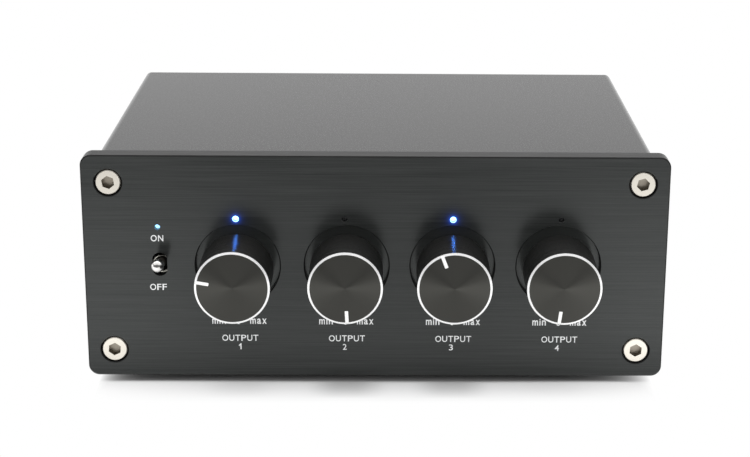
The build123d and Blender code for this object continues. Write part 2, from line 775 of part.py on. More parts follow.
with BuildPart() as indicator_screws:
    with BuildSketch(facing(strip_rear)):
        with Locations(*strip_screw_places):
            Circle(small_screw_radius)
    extrude(amount=strip_thick + strip_gap + small_screw_grip)
    with BuildSketch(facing(strip_rear + small_head_height)):
        with Locations(*strip_screw_places):
            Circle(small_head_radius)
    extrude(amount=small_head_height)
indicator_screws.part.label = "indicator_screws"
export_step(indicator_screws.part, "parts/indicator_screws.step")

# Main board, in the lower shell's rails
board_width = inner_width - 2 * board_side_gap
board_front = panel_rear + board_end_gap
board_rear = shell_rear - board_end_gap
board_plane = Plane.XY.offset(board_top)

with BuildPart() as main_board:
    with BuildSketch(board_plane):
        with Locations((0, (board_front + board_rear) / 2)):
            Rectangle(board_width, board_rear - board_front)
    extrude(amount=-board_thick)
main_board.part.label = "main_board"
export_step(main_board.part, "parts/main_board.step")

# Rear sockets: stacked housings on the board, metal sleeves, plastic inserts and contacts
jack_mouth = jack_end - insert_sink
bore_floor = jack_mouth - insert_bore_depth
insert_radius = jack_radius - jack_wall - insert_clearance
jack_housing_height = jack_low + jack_stack + jack_top

with BuildPart() as rca_housings:
    with BuildSketch(facing(shell_rear)):
        with Locations(*[(x, board_top) for x in jack_xs]):
            Rectangle(jack_housing_width, jack_housing_height, align=(Align.CENTER, Align.MIN))
    extrude(amount=jack_housing_depth)
rca_housings.part.label = "rca_housings"
export_step(rca_housings.part, "parts/rca_housings.step")

with BuildPart() as rca_sleeves:
    with BuildSketch(facing(case_rear)):
        with Locations(*low_jacks, *high_jacks):
            Circle(jack_radius + jack_collar)
    extrude(amount=rear_panel_thick)
    with BuildSketch(facing(jack_end)):
        with Locations(*low_jacks, *high_jacks):
            Circle(jack_radius)
    extrude(amount=jack_reach)
    chamfer(rca_sleeves.faces().group_by(Axis.Y)[-1].edges(), jack_lip_edge)
    with BuildSketch(facing(jack_end)):
        with Locations(*low_jacks, *high_jacks):
            Circle(jack_radius - jack_wall)
    extrude(amount=jack_reach + rear_panel_thick, mode=Mode.SUBTRACT)
rca_sleeves.part.label = "rca_sleeves"
export_step(rca_sleeves.part, "parts/rca_sleeves.step")

for insert_name, insert_places in (("rca_inserts_white", high_jacks), ("rca_inserts_red", low_jacks)):
    with BuildPart() as rca_inserts:
        with BuildSketch(facing(jack_mouth)):
            with Locations(*insert_places):
                Circle(insert_radius)
        extrude(amount=jack_mouth - shell_rear)
        with BuildSketch(facing(jack_mouth)):
            with Locations(*insert_places):
                Circle(insert_bore_radius)
        extrude(amount=insert_bore_depth, mode=Mode.SUBTRACT)
        with BuildSketch(facing(bore_floor)):
            with Locations(*insert_places):
                Circle(contact_radius + contact_clearance)
        extrude(amount=bore_floor - shell_rear, mode=Mode.SUBTRACT)
    rca_inserts.part.label = insert_name
    export_step(rca_inserts.part, f"parts/{insert_name}.step")

with BuildPart() as rca_contacts:
    with BuildSketch(facing(bore_floor)):
        with Locations(*low_jacks, *high_jacks):
            Circle(contact_radius)
    extrude(amount=bore_floor - shell_rear)
rca_contacts.part.label = "rca_contacts"
export_step(rca_contacts.part, "parts/rca_contacts.step")

# Power inlet
inlet_mouth = case_rear + inlet_nose_out
inlet_floor = inlet_mouth - inlet_bore_depth

with BuildPart() as dc_jack:
    with BuildSketch(facing(shell_rear)):
        with Locations((inlet_x, board_top)):
            Rectangle(inlet_width, inlet_axis_height + inlet_above, align=(Align.CENTER, Align.MIN))
    extrude(amount=inlet_depth)
    with BuildSketch(facing(inlet_mouth)):
        with Locations((inlet_x, inlet_z)):
            Circle(inlet_nose_radius)
    extrude(amount=inlet_mouth - shell_rear)
    with BuildSketch(facing(inlet_mouth)):
        with Locations((inlet_x, inlet_z)):
            Circle(inlet_bore_radius)
    extrude(amount=inlet_bore_depth, mode=Mode.SUBTRACT)
dc_jack.part.label = "dc_jack"
export_step(dc_jack.part, "parts/dc_jack.step")

with BuildPart() as dc_jack_pin:
    with BuildSketch(facing(inlet_mouth - inlet_pin_short)):
        with Locations((inlet_x, inlet_z)):
            Circle(inlet_pin_radius)
    extrude(amount=inlet_bore_depth - inlet_pin_short)
    fillet(dc_jack_pin.faces().sort_by(Axis.Y)[-1].edges(), inlet_pin_radius / 2)
dc_jack_pin.part.label = "dc_jack_pin"
export_step(dc_jack_pin.part, "parts/dc_jack_pin.step")

# Circuit parts that stand on the main board, one set behind each control
op_amp_y = pot_rear + op_amp_share * free_board
cap_y = pot_rear + cap_share * free_board
film_y = pot_rear + film_share * free_board
standing = (Align.CENTER, Align.CENTER, Align.MIN)

with BuildPart() as op_amps:
    with Locations(*[(x, op_amp_y, board_top) for x in control_xs]):
        Box(*op_amp_size, align=standing)
op_amps.part.label = "op_amps"
export_step(op_amps.part, "parts/op_amps.step")

with BuildPart() as electrolytic_caps:
    for x in control_xs:
        for side in (-1, 1):
            with Locations((x + side * cap_spread, cap_y, board_top)):
                Cylinder(cap_radius, cap_height, align=standing)
            with BuildSketch(Plane.XY.offset(board_top + cap_groove_height)):
                with Locations((x + side * cap_spread, cap_y)):
                    Circle(cap_radius + cut_over)
                    Circle(cap_radius - cap_groove, mode=Mode.SUBTRACT)
            extrude(amount=cap_groove, mode=Mode.SUBTRACT)
electrolytic_caps.part.label = "electrolytic_caps"
export_step(electrolytic_caps.part, "parts/electrolytic_caps.step")

with BuildPart() as film_caps:
    with Locations(*[(x + side * film_spread, film_y, board_top) for x in control_xs for side in (-1, 1)]):
        Box(*film_size, align=standing)
film_caps.part.label = "film_caps"
export_step(film_caps.part, "parts/film_caps.step")

# Voltage regulator and its heatsink, near the inlet
regulator_y = pot_rear + regulator_share * free_board
heatsink_width, heatsink_depth, heatsink_height = heatsink_size
heatsink_y = regulator_y + regulator_size[1] / 2
fin_pitch = (heatsink_width - heatsink_fin_gap) / (heatsink_fins - 1)
fin_middle = fin_pitch * (heatsink_fins - 1) / 2
fin_gaps = [(fin + 0.5) * fin_pitch - fin_middle for fin in range(heatsink_fins - 1)]

with BuildPart() as regulator:
    with Locations((inlet_x, regulator_y, board_top)):
        Box(*regulator_size, align=standing)
regulator.part.label = "regulator"
export_step(regulator.part, "parts/regulator.step")

with BuildPart() as heatsink:
    with BuildSketch(board_plane):
        with Locations((inlet_x, heatsink_y)):
            Rectangle(heatsink_width, heatsink_depth, align=(Align.CENTER, Align.MIN))
        with Locations(*[(inlet_x + gap, heatsink_y + heatsink_web) for gap in fin_gaps]):
            Rectangle(heatsink_fin_gap, heatsink_depth, align=(Align.CENTER, Align.MIN), mode=Mode.SUBTRACT)
    extrude(amount=heatsink_height)
heatsink.part.label = "heatsink"
export_step(heatsink.part, "parts/heatsink.step")

# Headers and the flat cable from the lamp strip, over the controls, down to the main board
ribbon_x = control_xs[2]
ribbon_y = pot_rear + ribbon_share * free_board + header_depth
header_rear = strip_rear + header_depth
header_top = board_top + header_height

with BuildPart() as board_headers:
    with BuildSketch(facing(header_rear)):
        with Locations((ribbon_x, lamp_z)):
            Rectangle(header_width, header_height)
    extrude(amount=header_depth)
    with BuildSketch(board_plane):
        with Locations((ribbon_x, ribbon_y)):
            Rectangle(header_width, header_depth)
    extrude(amount=header_height)
board_headers.part.label = "board_headers"
export_step(board_headers.part, "parts/board_headers.step")

ribbon_bend = bend_share * min(ribbon_y - header_rear, lamp_z - header_top)

with BuildPart() as indicator_ribbon:
    with BuildLine() as ribbon_route:
        FilletPolyline(
            (ribbon_x, header_rear, lamp_z),
            (ribbon_x, ribbon_y, lamp_z),
            (ribbon_x, ribbon_y, header_top),
            radius=ribbon_bend,
        )
    with BuildSketch(facing(header_rear)):
        with Locations((ribbon_x, lamp_z)):
            Rectangle(ribbon_width, ribbon_thick)
    sweep(path=ribbon_route.line)
indicator_ribbon.part.label = "indicator_ribbon"
export_step(indicator_ribbon.part, "parts/indicator_ribbon.step")

# Two wires from the switch's middle and lower terminals to the main board
wire_start = toggle_body_rear + terminal_length

with BuildPart() as switch_leads:
    for drop, run in ((0, 2 * wire_run), (terminal_pitch, wire_run)):
        wire_z = control_z - drop
        wire_bend = bend_share * min(run, wire_z - board_top)
        with BuildLine() as wire_route:
            FilletPolyline(
                (switch_x, wire_start, wire_z),
                (switch_x, wire_start + run, wire_z),
                (switch_x, wire_start + run, board_top),
                radius=wire_bend,
            )
        with BuildSketch(facing(wire_start)):
            with Locations((switch_x, wire_z)):
                Circle(wire_radius)
        sweep(path=wire_route.line)
switch_leads.part.label = "switch_leads"
export_step(switch_leads.part, "parts/switch_leads.step")
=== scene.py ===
import json
import math

import bmesh
import bpy
from mathutils import Matrix, Vector

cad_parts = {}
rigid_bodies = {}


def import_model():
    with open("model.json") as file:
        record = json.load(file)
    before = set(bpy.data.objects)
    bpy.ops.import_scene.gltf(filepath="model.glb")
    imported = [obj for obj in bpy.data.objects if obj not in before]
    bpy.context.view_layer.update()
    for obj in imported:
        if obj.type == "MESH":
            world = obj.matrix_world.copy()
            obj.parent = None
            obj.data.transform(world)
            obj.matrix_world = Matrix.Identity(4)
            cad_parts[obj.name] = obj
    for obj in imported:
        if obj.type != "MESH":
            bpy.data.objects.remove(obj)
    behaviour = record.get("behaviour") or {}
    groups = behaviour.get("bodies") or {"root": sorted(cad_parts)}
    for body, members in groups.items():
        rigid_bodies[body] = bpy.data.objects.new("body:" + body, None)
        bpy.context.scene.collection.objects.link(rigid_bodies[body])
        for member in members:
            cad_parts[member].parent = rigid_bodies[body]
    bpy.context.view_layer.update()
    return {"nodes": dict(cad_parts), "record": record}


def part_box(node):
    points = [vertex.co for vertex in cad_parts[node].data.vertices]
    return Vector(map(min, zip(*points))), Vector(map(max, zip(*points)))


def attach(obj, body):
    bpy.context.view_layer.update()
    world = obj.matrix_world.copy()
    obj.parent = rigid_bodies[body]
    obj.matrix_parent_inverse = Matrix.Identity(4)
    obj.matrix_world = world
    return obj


for thing in list(bpy.data.objects):
    bpy.data.objects.remove(thing)

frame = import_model()
nodes = frame["nodes"]
scene = bpy.context.scene
mm = 0.001

# Places that the pieces and materials share, read from the frame

panel_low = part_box("front_panel")[0]
panel_front = panel_low.y
control_numbers = (1, 2, 3, 4)
knob_boxes = {number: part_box(f"knob_{number}") for number in control_numbers}
knob_axes = {number: (low + high) / 2 for number, (low, high) in knob_boxes.items()}
knob_front = knob_boxes[1][0].y
knob_radius = (knob_boxes[1][1].x - knob_boxes[1][0].x) / 2
recess_depth = 2.0 * mm
recess_floor = panel_front + recess_depth


def lens_place(name):
    """The middle of a lamp's lens, on the panel's face."""
    low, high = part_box(name)
    return Vector(((low.x + high.x) / 2, panel_front, (low.z + high.z) / 2))


# Node trees, and the numbers of the Mix node's sockets for colours

mix_colour_inputs = slice(6, 8)
mix_colour_output = 2


class Tree:
    """A node tree, with short calls that add nodes and join their sockets."""

    def __init__(self, holder):
        holder.use_nodes = True
        self.tree = holder.node_tree
        self.tree.nodes.clear()

    def add(self, kind, inputs=None, **settings):
        node = self.tree.nodes.new("ShaderNode" + kind)
        for name, value in settings.items():
            setattr(node, name, value)
        for name, value in (inputs or {}).items():
            socket = node.inputs[name]
            if isinstance(value, bpy.types.NodeSocket):
                self.tree.links.new(value, socket)
            else:
                socket.default_value = value
        return node

    def math(self, operation, *values):
        return self.add("Math", dict(enumerate(values)), operation=operation).outputs[0]

    def plus(self, first, second):
        return self.math("ADD", first, second)

    def minus(self, first, second):
        return self.math("SUBTRACT", first, second)

    def times(self, first, second):
        return self.math("MULTIPLY", first, second)

    def larger(self, first, second):
        return self.math("MAXIMUM", first, second)

    def smaller(self, first, second):
        return self.math("MINIMUM", first, second)

    def absolute(self, value):
        return self.math("ABSOLUTE", value)

    def weighted(self, first, first_weight, second, second_weight):
        """The sum of two values, each times its weight."""
        return self.plus(self.times(first, first_weight), self.times(second, second_weight))

    def place(self, kind="Object"):
        return self.add("TexCoord").outputs[kind]

    def parts(self, vector):
        """The X, Y and Z of a vector."""
        return tuple(self.add("SeparateXYZ", {0: vector}).outputs)

    def rays(self):
        """Whether a ray comes from the camera, and whether it was mirrored or passed through glass."""
        path = self.add("LightPath").outputs
        return path["Is Camera Ray"], self.larger(path["Is Glossy Ray"], path["Is Transmission Ray"])

    def span(self, value, low, high, to_low, to_high, smooth=False):
        """The value from low to high taken to the range from to_low to to_high."""
        inputs = {"Value": value, "From Min": low, "From Max": high, "To Min": to_low, "To Max": to_high}
        shape = "SMOOTHSTEP" if smooth else "LINEAR"
        return self.add("MapRange", inputs, interpolation_type=shape).outputs["Result"]

    def noise(self, sizes, detail=3.0, coordinates=None):
        """Noise whose grain has these sizes along X, Y and Z, in metres where no coordinates are given."""
        scale = [1 / size for size in sizes]
        source = coordinates or self.place()
        moved = self.add("Mapping", {"Vector": source, "Scale": scale})
        texture = self.add("TexNoise", {"Vector": moved.outputs[0], "Scale": 1.0, "Detail": detail})
        return texture.outputs["Fac"]

    def blend(self, factor, first, second):
        """A colour between first and second."""
        mixed = self.add("Mix", {"Factor": factor}, data_type="RGBA")
        for socket, value in zip(mixed.inputs[mix_colour_inputs], (first, second)):
            socket.default_value = (*value, 1)
        return mixed.outputs[mix_colour_output]

    def bump(self, height, distance, strength=1.0):
        inputs = {"Height": height, "Distance": distance, "Strength": strength}
        return self.add("Bump", inputs).outputs["Normal"]

    def surface(self, inputs):
        """Joins a principled surface with these inputs to the output."""
        fixed = {}
        for name, value in inputs.items():
            is_colour = isinstance(value, tuple) and len(value) == 3
            fixed[name] = (*value, 1) if is_colour else value
        shader = self.add("BsdfPrincipled", fixed)
        self.add("OutputMaterial", {"Surface": shader.outputs[0]})


grain_span = (0.3, 0.7)


def socket_names(more):
    """Extra settings under the names of the shader's sockets, which have spaces."""
    return {key.replace("_", " "): value for key, value in more.items()}


def grained(name, dark, light, sizes, rough, lift, **more):
    """A material whose colour, roughness and bump follow one grain of these sizes."""
    made = bpy.data.materials.new(name)
    tree = Tree(made)
    grain = tree.noise(sizes)
    tree.surface({
        "Base Color": tree.blend(tree.span(grain, *grain_span, 0.0, 1.0), dark, light),
        "Roughness": tree.span(grain, *grain_span, *rough),
        "Normal": tree.bump(grain, lift),
        **socket_names(more),
    })
    return made


# Front panel: black anodised, brushed from side to side, with the lit lamps' glow painted round their holes
# as the panel's own emission

lit_lamps = ("led_1", "led_3")
other_lamps = ("led_2", "led_4", "power_led")
fine_brush = (28 * mm, 28 * mm, 0.32 * mm)
broad_brush = (60 * mm, 60 * mm, 2.6 * mm)
fine_share = 0.7
broad_share = 0.3
brush_span = (0.35, 0.65)
brush_rough = (0.17, 0.24)
brush_depth = 0.024 * mm
brush_strength = 0.6
brush_anisotropy = 0.55
panel_tint = (0.96, 1.0, 0.985)
glow_edge = 1.27 * mm
glow_power = -3.3
glow_limit = 1.6
glow_strength = 0.24
glow_colour = (0.01, 0.12, 1.0)
bloom_start = 0.8 * mm
bloom_end = 1.0 * mm
bloom_strength = 1.6
bloom_colour = (0.5, 0.75, 1.0)


def panel_face(name, dark, light):
    """Brushed black, with a painted glow, an emission of the panel itself, that falls off round each lit
    lamp.
    """
    made = bpy.data.materials.new(name)
    tree = Tree(made)
    fine = tree.noise(fine_brush, detail=4.0)
    broad = tree.noise(broad_brush, detail=2.0)
    grain = tree.weighted(fine, fine_share, broad, broad_share)
    away = []
    for lamp in lit_lamps:
        measure = tree.add("VectorMath", {0: tree.place(), 1: lens_place(lamp)}, operation="DISTANCE")
        away.append(measure.outputs["Value"])
    nearest = tree.smaller(*away)
    fall = tree.math("POWER", tree.math("DIVIDE", nearest, glow_edge), glow_power)
    glow = tree.smaller(fall, glow_limit)
    bloom = tree.span(nearest, bloom_start, bloom_end, 1.0, 0.0, smooth=True)
    upright = tree.add("CombineXYZ", {"Z": 1.0})
    tree.surface({
        "Base Color": tree.blend(tree.span(grain, *brush_span, 0.0, 1.0), dark, light),
        "Specular Tint": panel_tint,
        "Roughness": tree.span(grain, *brush_span, *brush_rough),
        "Anisotropic": brush_anisotropy,
        "Tangent": upright.outputs[0],
        "Normal": tree.bump(grain, brush_depth, brush_strength),
        "Emission Color": tree.blend(bloom, glow_colour, bloom_colour),
        "Emission Strength": tree.weighted(glow, glow_strength, bloom, bloom_strength),
    })
    return made


# Knobs: spun face, bright cut edge and turned side

axis_share = 0.5
groove_depth = 0.01 * mm
groove_strength = 0.5
quarter_turn = 0.25


def turned(name, dark, light, rough, groove, anisotropy, lean=0.0, **more):
    """A lathe finish about the knob's own axis, with grooves that follow the radius and the length.

    The lean turns the grooves' sides inwards, or outwards where it is below zero. It is a rise
    from the middle to the rim, as a multiple of the grooves' depth.
    """
    made = bpy.data.materials.new(name)
    tree = Tree(made)
    x, y, z = tree.parts(tree.place("Generated"))
    across = tree.math("POWER", tree.minus(x, axis_share), 2.0)
    upward = tree.math("POWER", tree.minus(z, axis_share), 2.0)
    radius = tree.math("POWER", tree.plus(across, upward), 0.5)
    step = tree.add("CombineXYZ", {"X": radius, "Y": y})
    grain = tree.noise((groove, groove, 1.0), coordinates=step.outputs[0])
    height = tree.plus(grain, tree.times(radius, lean / axis_share))
    around = tree.add("Tangent", direction_type="RADIAL", axis="Y")
    tree.surface({
        "Base Color": tree.blend(tree.span(grain, *grain_span, 0.0, 1.0), dark, light),
        "Roughness": tree.span(grain, *grain_span, *rough),
        "Anisotropic": anisotropy,
        "Anisotropic Rotation": quarter_turn,
        "Tangent": around.outputs[0],
        "Normal": tree.bump(height, groove_depth, groove_strength),
        **socket_names(more),
    })
    return made


# Lamps

lens_rim = 0.35
lens_rough = (0.12, 0.3)
lens_clear_share = 0.3


def lens(name, body, glow, strength):
    """A clear or tinted lens, lit from inside when it has a strength."""
    made = bpy.data.materials.new(name)
    tree = Tree(made)
    rim = tree.add("LayerWeight", {"Blend": lens_rim}).outputs["Facing"]
    tree.surface({
        "Base Color": body,
        "Roughness": tree.span(rim, 0.0, 1.0, *lens_rough),
        "Transmission Weight": lens_clear_share,
        "Emission Color": glow,
        "Emission Strength": strength,
    })
    return made


# Circuit board: solder mask with a faint weave, and tracks that show through it

weave_size = 0.5 * mm
weave_share = 0.4
track_size = 5 * mm
track_gap = 0.06
track_share = 0.6
track_lift = 0.03 * mm
track_strength = 0.5
board_dark = (0.012, 0.1, 0.035)
board_light = (0.05, 0.24, 0.09)
board_rough = (0.3, 0.42)


def board_material():
    """Green solder mask over tracks."""
    made = bpy.data.materials.new("board_green")
    tree = Tree(made)
    weave = tree.noise((weave_size, weave_size, weave_size), detail=1.0)
    moved = tree.add("Mapping", {"Vector": tree.place(), "Scale": (1 / track_size,) * 3})
    bricks = tree.add("TexBrick", {"Vector": moved.outputs[0], "Scale": 1.0, "Mortar Size": track_gap})
    tracks = bricks.outputs["Fac"]
    tone = tree.weighted(weave, weave_share, tracks, track_share)
    tree.surface({
        "Base Color": tree.blend(tone, board_dark, board_light),
        "Roughness": tree.span(weave, *grain_span, *board_rough),
        "Normal": tree.bump(tracks, track_lift, track_strength),
    })
    return made


def grey(value):
    """A colour with the same red, green and blue."""
    return (value, value, value)


even = (0.3 * mm, 0.3 * mm, 0.3 * mm)
broad_even = (1.5 * mm, 1.5 * mm, 1.5 * mm)
milled = (9 * mm, 0.4 * mm, 9 * mm)
blasted = (0.28 * mm, 0.5 * mm, 0.28 * mm)
cut_edge = (6 * mm, 0.3 * mm, 6 * mm)
shaft_turning = (20 * mm, 0.3 * mm, 20 * mm)
sleeve_turning = (20 * mm, 0.4 * mm, 20 * mm)
extruded_up = (0.4 * mm, 0.4 * mm, 20 * mm)
ribbon_wires = (0.9 * mm, 30 * mm, 30 * mm)

# A material for each slot of the record. A grained one is given by its dark and light colours, the
# sizes of its grain, its range of roughness and the height of its bump.

looks = {
    "panel_black": grained(
        "panel_milled", grey(0.012), grey(0.021), milled, (0.34, 0.44), 0.01 * mm, Specular_IOR_Level=0.21),
    "case_black": grained(
        "case_matt", grey(0.026), grey(0.036), blasted, (0.22, 0.29), 0.006 * mm, Specular_IOR_Level=0.27),
    "knob_black": turned(
        "knob_side", grey(0.008), (0.013, 0.013, 0.012), (0.26, 0.33), groove=0.008, anisotropy=0.7,
        Specular_IOR_Level=0.45),
    "screw_nickel": grained(
        "screw_nickel", (0.93, 0.88, 0.78), (0.98, 0.93, 0.84), even, (0.3, 0.42), 0.006 * mm, Metallic=1.0),
    "plated_steel": grained(
        "plated_steel", (0.55, 0.55, 0.54), (0.68, 0.68, 0.67), even, (0.26, 0.4), 0.01 * mm, Metallic=1.0),
    "shaft_metal": grained(
        "shaft_metal", grey(0.6), (0.74, 0.74, 0.73), shaft_turning, (0.25, 0.38), 0.01 * mm, Metallic=1.0),
    "pot_case": grained(
        "pot_case", (0.1, 0.1, 0.11), (0.14, 0.14, 0.15), even, (0.4, 0.55), 0.02 * mm),
    "chrome": grained(
        "chrome", (0.84, 0.83, 0.81), (0.9, 0.89, 0.87), broad_even, (0.05, 0.1), 0.002 * mm, Metallic=1.0),
    "switch_plastic": grained(
        "switch_plastic", (0.24, 0.035, 0.02), (0.34, 0.06, 0.035), even, (0.4, 0.55), 0.02 * mm),
    "lamp_blue": lens("lamp_blue", (0.75, 0.9, 1.0), (0.065, 0.26, 1.0), 14.5),
    "lamp_dark": lens("lamp_dark", (0.085, 0.088, 0.09), (0.0, 0.0, 0.0), 0.0),
    "lamp_white": lens("lamp_white", (0.7, 0.95, 1.0), (0.32, 0.62, 1.0), 1.2),
    "circuit_board": board_material(),
    "spacer_plastic": grained(
        "spacer_plastic", (0.68, 0.67, 0.63), (0.78, 0.77, 0.73), even, (0.4, 0.55), 0.02 * mm),
    "socket_black": grained(
        "socket_black", grey(0.014), grey(0.026), even, (0.35, 0.5), 0.02 * mm),
    "socket_metal": grained(
        "socket_metal", (0.7, 0.68, 0.63), (0.82, 0.8, 0.75), sleeve_turning, (0.3, 0.42), 0.006 * mm,
        Metallic=1.0),
    "insert_white": grained(
        "insert_white", (0.8, 0.8, 0.77), (0.88, 0.88, 0.86), broad_even, (0.3, 0.4), 0.01 * mm),
    "insert_red": grained(
        "insert_red", (0.48, 0.022, 0.02), (0.58, 0.035, 0.03), broad_even, (0.3, 0.4), 0.01 * mm),
    "contact_brass": grained(
        "contact_brass", (0.7, 0.52, 0.2), (0.82, 0.64, 0.3), even, (0.2, 0.34), 0.006 * mm, Metallic=1.0),
    "cap_sleeve": grained(
        "cap_sleeve", (0.03, 0.04, 0.1), (0.05, 0.06, 0.14), broad_even, (0.22, 0.34), 0.02 * mm),
    "film_cap": grained(
        "film_cap", (0.42, 0.06, 0.03), (0.56, 0.1, 0.05), broad_even, (0.3, 0.45), 0.04 * mm),
    "regulator_black": grained(
        "regulator_black", grey(0.016), grey(0.03), even, (0.4, 0.55), 0.02 * mm),
    "heatsink_black": grained(
        "heatsink_black", grey(0.026), grey(0.042), extruded_up, (0.4, 0.52), 0.015 * mm),
    "ribbon_grey": grained(
        "ribbon_grey", (0.36, 0.36, 0.37), (0.5, 0.5, 0.51), ribbon_wires, (0.4, 0.5), 0.06 * mm),
    "wire_red": grained(
        "wire_red", (0.44, 0.022, 0.015), (0.56, 0.04, 0.03), broad_even, (0.32, 0.44), 0.01 * mm),
    "rubber": grained(
        "rubber", grey(0.016), grey(0.028), even, (0.7, 0.85), 0.03 * mm),
}

# Materials for parts of a node and for the scene's own pieces

face_look = panel_face("panel_brushed", (0.013, 0.0145, 0.014), (0.031, 0.0325, 0.032))
# A lighter brushed black: painted light for the shaded floors of the recesses and the panel's bottom edge
recess_painted_light_look = panel_face("brushed_painted_light", (0.034, 0.0365, 0.035), (0.043, 0.0455, 0.044))
knob_face_look = turned(
    "knob_spun", (0.008, 0.008, 0.0075), (0.012, 0.012, 0.011), (0.46, 0.52), groove=0.004,
    anisotropy=0.93, lean=-900.0, Specular_IOR_Level=1.0, Specular_Tint=(1.0, 0.99, 0.9))
knob_edge_look = turned(
    "knob_cut_edge", grey(0.96), grey(1.0), (0.3, 0.38), groove=0.004, anisotropy=0.3, Metallic=0.5)
paint_look = grained(
    "paint_white", (0.95, 0.95, 0.94), (1.0, 1.0, 0.99), even, (0.45, 0.6), 0.006 * mm)
print_look = grained(
    "print_white", (0.94, 0.95, 0.95), (0.99, 1.0, 1.0), even, (0.5, 0.65), 0.004 * mm)
# The screws' hexagon sockets, painted darker as shade
socket_painted_shade_look = grained(
    "screw_socket_painted_shade", (0.34, 0.3, 0.25), (0.46, 0.42, 0.35), even, (0.3, 0.45), 0.01 * mm, Metallic=1.0)
# Painted shade and dark reflection on the switch's lever neck and bushing sides
switch_painted_shade_look = grained(
    "switch_painted_shade", (0.012, 0.01, 0.008), (0.024, 0.02, 0.016), even, (0.4, 0.55), 0.01 * mm)
mouth_look = grained(
    "bushing_mouth", (0.56, 0.55, 0.49), (0.7, 0.69, 0.62), even, (0.3, 0.42), 0.004 * mm, Metallic=1.0)
# The unlit lamps' holes, painted lighter than the panel against the shade inside them
hole_painted_light_look = grained(
    "lamp_hole_painted_light", (0.055, 0.056, 0.056), (0.07, 0.071, 0.071), even, (0.45, 0.55), 0.006 * mm)
# The panel's cut edges, painted darker than the milled black as the shade along them
edge_look = grained(
    "panel_edge_painted_shade", grey(0.006), grey(0.012), cut_edge, (0.45, 0.55), 0.006 * mm, Specular_IOR_Level=0.15)

for row in frame["record"]["subparts"]:
    mesh = nodes[row["node"]].data
    mesh.materials.clear()
    mesh.materials.append(looks[row["material_slot"]])


def dress(name, look, belongs):
    """Gives a CAD node one more material, on the polygons that belong."""
    mesh = nodes[name].data
    mesh.materials.append(look)
    index = len(mesh.materials) - 1
    for polygon in mesh.polygons:
        if belongs(polygon):
            polygon.material_index = index


# Panel: its face, the recess floors and bottom edge painted lighter against shade, the cut edges painted
# darker as shade, and the lamp holes

close = 0.02 * mm
face_normal = -0.9
slope_normal = -0.5
downward_normal = -0.35
panel_edge_depth = 0.5 * mm
lit_places = [lens_place(lamp) for lamp in lit_lamps]
other_places = [lens_place(lamp) for lamp in other_lamps]


def on_panel_edge(polygon):
    """Whether a polygon of the panel lies on the slope of a front edge."""
    slopes = face_normal < polygon.normal.y < slope_normal
    return slopes and polygon.center.y < panel_front + panel_edge_depth


def in_hole(polygon, places):
    """Whether a polygon of the panel lines the hole in front of a lamp at one of these places."""
    spot = polygon.center
    off = min(math.hypot(spot.x - place.x, spot.z - place.z) for place in places)
    return off < bloom_end and spot.y < recess_floor


for depth, look in ((panel_front, face_look), (recess_floor, recess_painted_light_look)):
    dress("front_panel", look,
          lambda polygon: polygon.normal.y < face_normal and abs(polygon.center.y - depth) < close)
dress("front_panel", edge_look, on_panel_edge)
dress("front_panel", recess_painted_light_look,
      lambda polygon: on_panel_edge(polygon) and polygon.normal.z < downward_normal)
# The lit lamps' holes are lined with the face's painted glow
dress("front_panel", face_look, lambda polygon: in_hole(polygon, lit_places))
dress("front_panel", hole_painted_light_look,
      lambda polygon: in_hole(polygon, other_places) and polygon.normal.y > face_normal)

# Knobs: the spun face and the bright cut edge

knob_edge_normal = -0.97
knob_edge_depth = 1 * mm


def on_knob_edge(polygon):
    """Whether a polygon of a knob lies on the slope of its front edge."""
    slopes = knob_edge_normal < polygon.normal.y < slope_normal
    return slopes and polygon.center.y < knob_front + knob_edge_depth


for number in control_numbers:
    dress(f"knob_{number}", knob_face_look, lambda polygon: abs(polygon.center.y - knob_front) < close)
    dress(f"knob_{number}", knob_edge_look, on_knob_edge)

# Front screws: their hexagon sockets, painted a darker, brownish metal as the shade inside them

screw_low, screw_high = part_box("front_screws")
screw_face = screw_low.y
head_radius = 3.6 * mm
socket_radius = 2.0 * mm
socket_depth = 2.5 * mm
screw_xs = (screw_low.x + head_radius, screw_high.x - head_radius)
screw_zs = (screw_low.z + head_radius, screw_high.z - head_radius)


def in_socket(polygon):
    """Whether a polygon of the front screws lies in one of their hexagon sockets."""
    spot = polygon.center
    across = min(abs(spot.x - x) for x in screw_xs)
    upward = min(abs(spot.z - z) for z in screw_zs)
    sunk = screw_face + close < spot.y < screw_face + socket_depth
    return sunk and math.hypot(across, upward) < socket_radius


dress("front_screws", socket_painted_shade_look, in_socket)

# Switch: the lever's neck and the bushing's sides, painted dark as shade and dark reflection, and the
# bushing with its bright mouth

neck_reach = 6.4 * mm
neck_start = panel_front - neck_reach
dress("toggle_lever", switch_painted_shade_look, lambda polygon: polygon.center.y > neck_start)
dress("toggle_bushing", switch_painted_shade_look, lambda polygon: polygon.normal.y > slope_normal)
dress("toggle_bushing", mouth_look, lambda polygon: polygon.normal.y <= slope_normal)

# New pieces


def piece(name, mesh, look, body):
    """Makes a piece from a mesh in the shared frame, which rides on a body."""
    made = bpy.data.objects.new(name, mesh)
    scene.collection.objects.link(made)
    mesh.materials.clear()
    mesh.materials.append(look)
    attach(made, body)


def stacked(name, first, second):
    """A closed mesh between two outlines with the same number of points."""
    built = bmesh.new()
    rings = [[built.verts.new(point) for point in outline] for outline in (first, second)]
    built.faces.new(rings[0])
    built.faces.new(reversed(rings[1]))
    for index in range(len(first)):
        built.faces.new((rings[0][index], rings[0][index - 1], rings[1][index - 1], rings[1][index]))
    bmesh.ops.recalc_face_normals(built, faces=built.faces)
    mesh = bpy.data.meshes.new(name)
    built.to_mesh(mesh)
    built.free()
    return mesh


# Pointer paint that fills the groove in each knob's face

